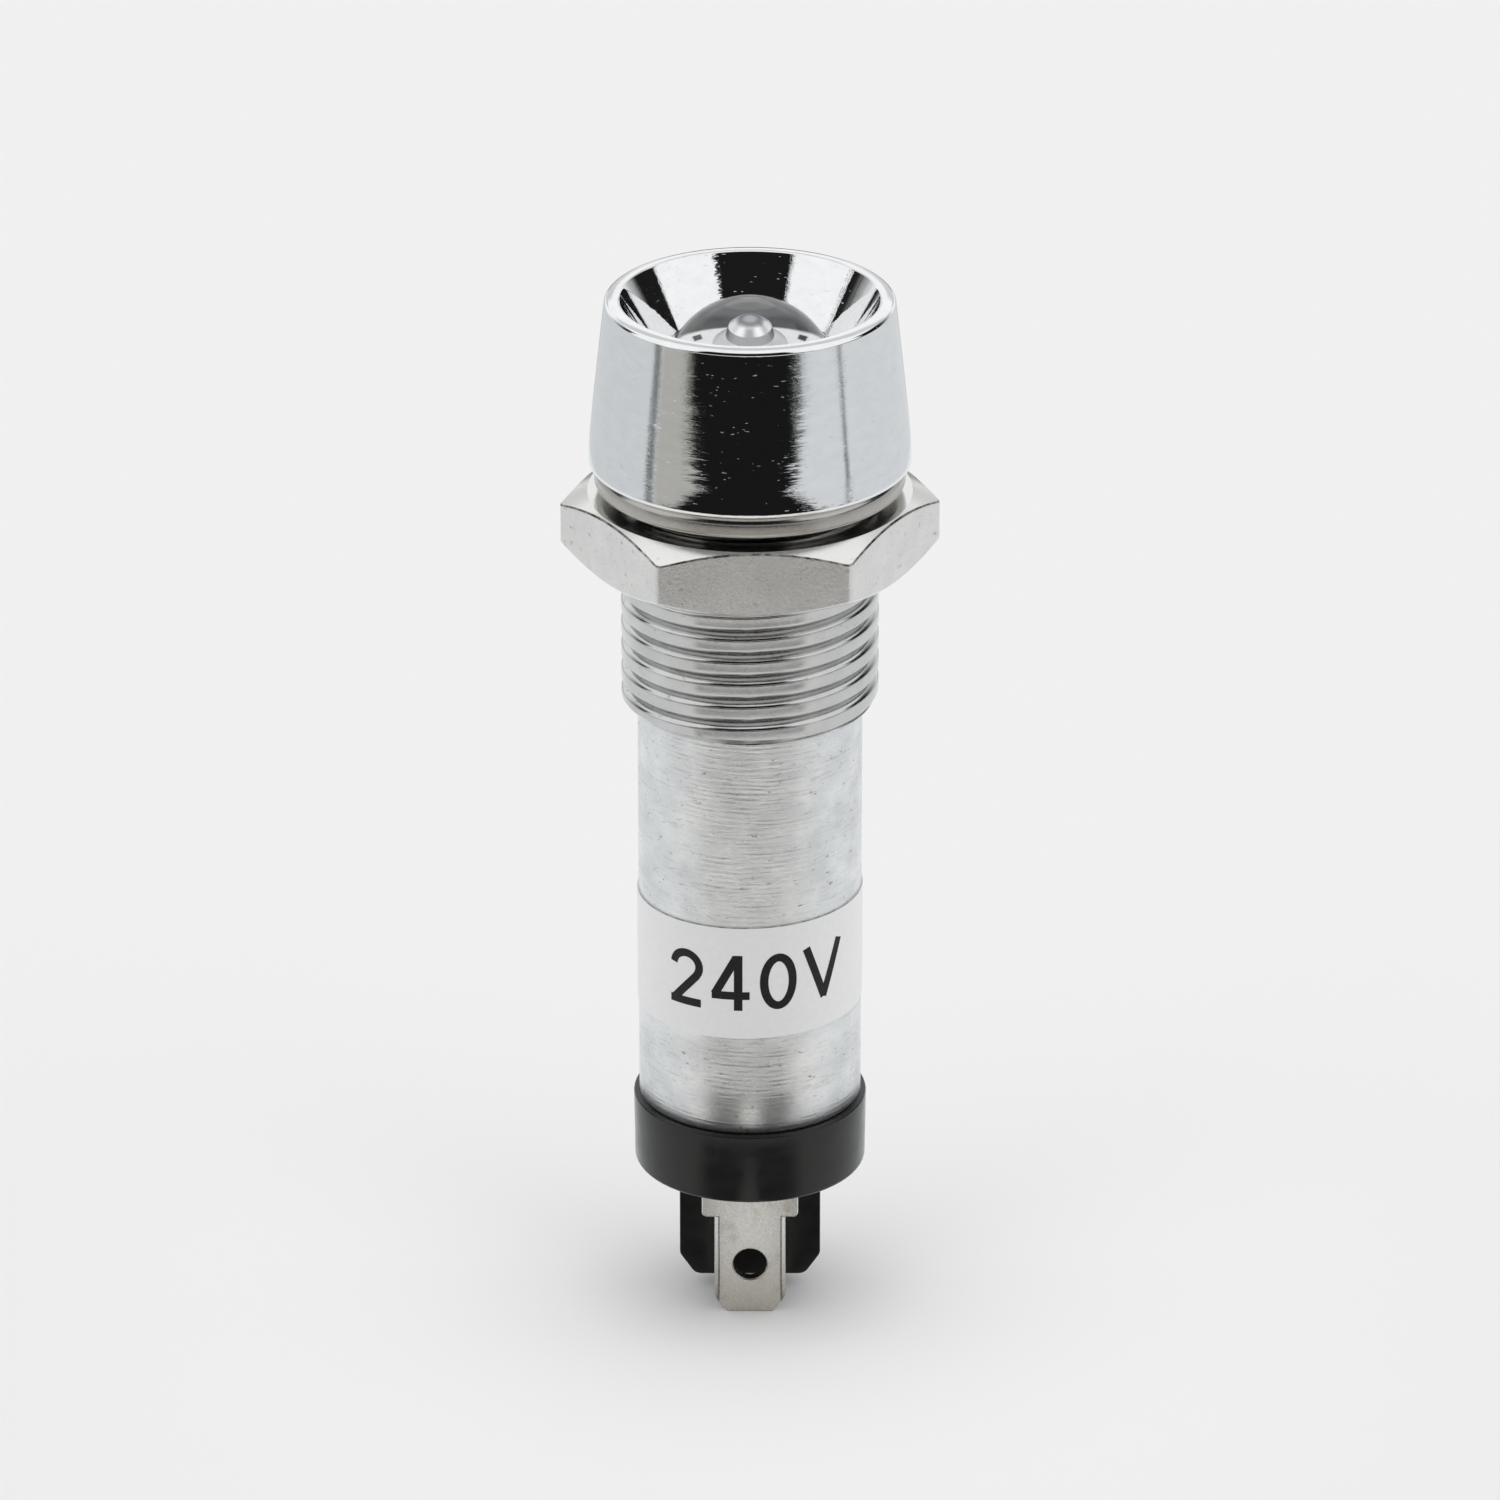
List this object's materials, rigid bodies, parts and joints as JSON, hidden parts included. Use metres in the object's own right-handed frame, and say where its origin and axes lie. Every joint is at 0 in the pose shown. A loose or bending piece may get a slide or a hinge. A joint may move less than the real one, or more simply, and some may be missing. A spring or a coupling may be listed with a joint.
{
  "type": "panel pilot light",
  "caption": "Panel-mount pilot light: chromed tapered bezel with a reflector cone round a clear lens, threaded metal barrel with washer and hexagon nut, black base plug and solder tabs.",
  "frame": {"origin": "on the axis, in the plane of the bezel's underside, where the panel's front face seats", "axes": "+Z out of the panel towards the viewer; the front solder tab lies towards -Y and the rear one towards +Y"},
  "size_m": [0.0148, 0.013, 0.0421],
  "materials": {
    "chromed_metal": "mirror bright, fine turning marks",
    "clear_lens": "clear, polished",
    "lamp_epoxy": "water clear",
    "tinned_wire": "tinned",
    "black_bush": "moulded",
    "red_sleeve": "extruded",
    "black_sleeve": "extruded",
    "resistor_paint": "lacquered",
    "diode_epoxy": "moulded",
    "solder": "bright",
    "insulating_sheet": "smooth",
    "plated_barrel": "satin plated, faint turning lines",
    "nickel_washer": "nickel plated",
    "nickel_nut": "nickel plated, faint grain on the flats",
    "label_paper": "matt off-white paper",
    "black_plug": "moulded satin black",
    "tab_metal": "tinned, coined edges"
  },
  "bodies": {
    "lamp_unit": {"bezel": "chromed_metal", "lens_dome": "clear_lens", "lamp_body": "lamp_epoxy", "lamp_anode_lead": "tinned_wire", "lamp_cathode_lead": "tinned_wire", "lamp_holder": "black_bush", "anode_sleeve": "red_sleeve", "cathode_sleeve": "black_sleeve", "resistor_body": "resistor_paint", "resistor_leads": "tinned_wire", "diode_body": "diode_epoxy", "diode_leads": "tinned_wire", "solder_joints": "solder", "insulating_tube": "insulating_sheet", "barrel": "plated_barrel", "rating_label": "label_paper", "base_plug": "black_plug", "front_terminal": "tab_metal", "rear_terminal": "tab_metal"},
    "washer": {"lock_washer": "nickel_washer"},
    "nut": {"hex_nut": "nickel_nut"}
  },
  "joints": [
    {"name": "nut_turn", "type": "hinge", "parent": "lamp_unit", "child": "washer", "pos_m": [0, 0, 0], "axis": [0, 0, 1], "range_deg": [-2528, 115]},
    {"name": "nut_travel", "type": "slide", "parent": "washer", "child": "nut", "axis": [0, 0, 1], "range_m": [-0.0066, 0.0003]}
  ],
  "couplings": [
    {"joint": "nut_turn", "follows": "nut_travel", "rad_per_m": 6684.2}
  ]
}
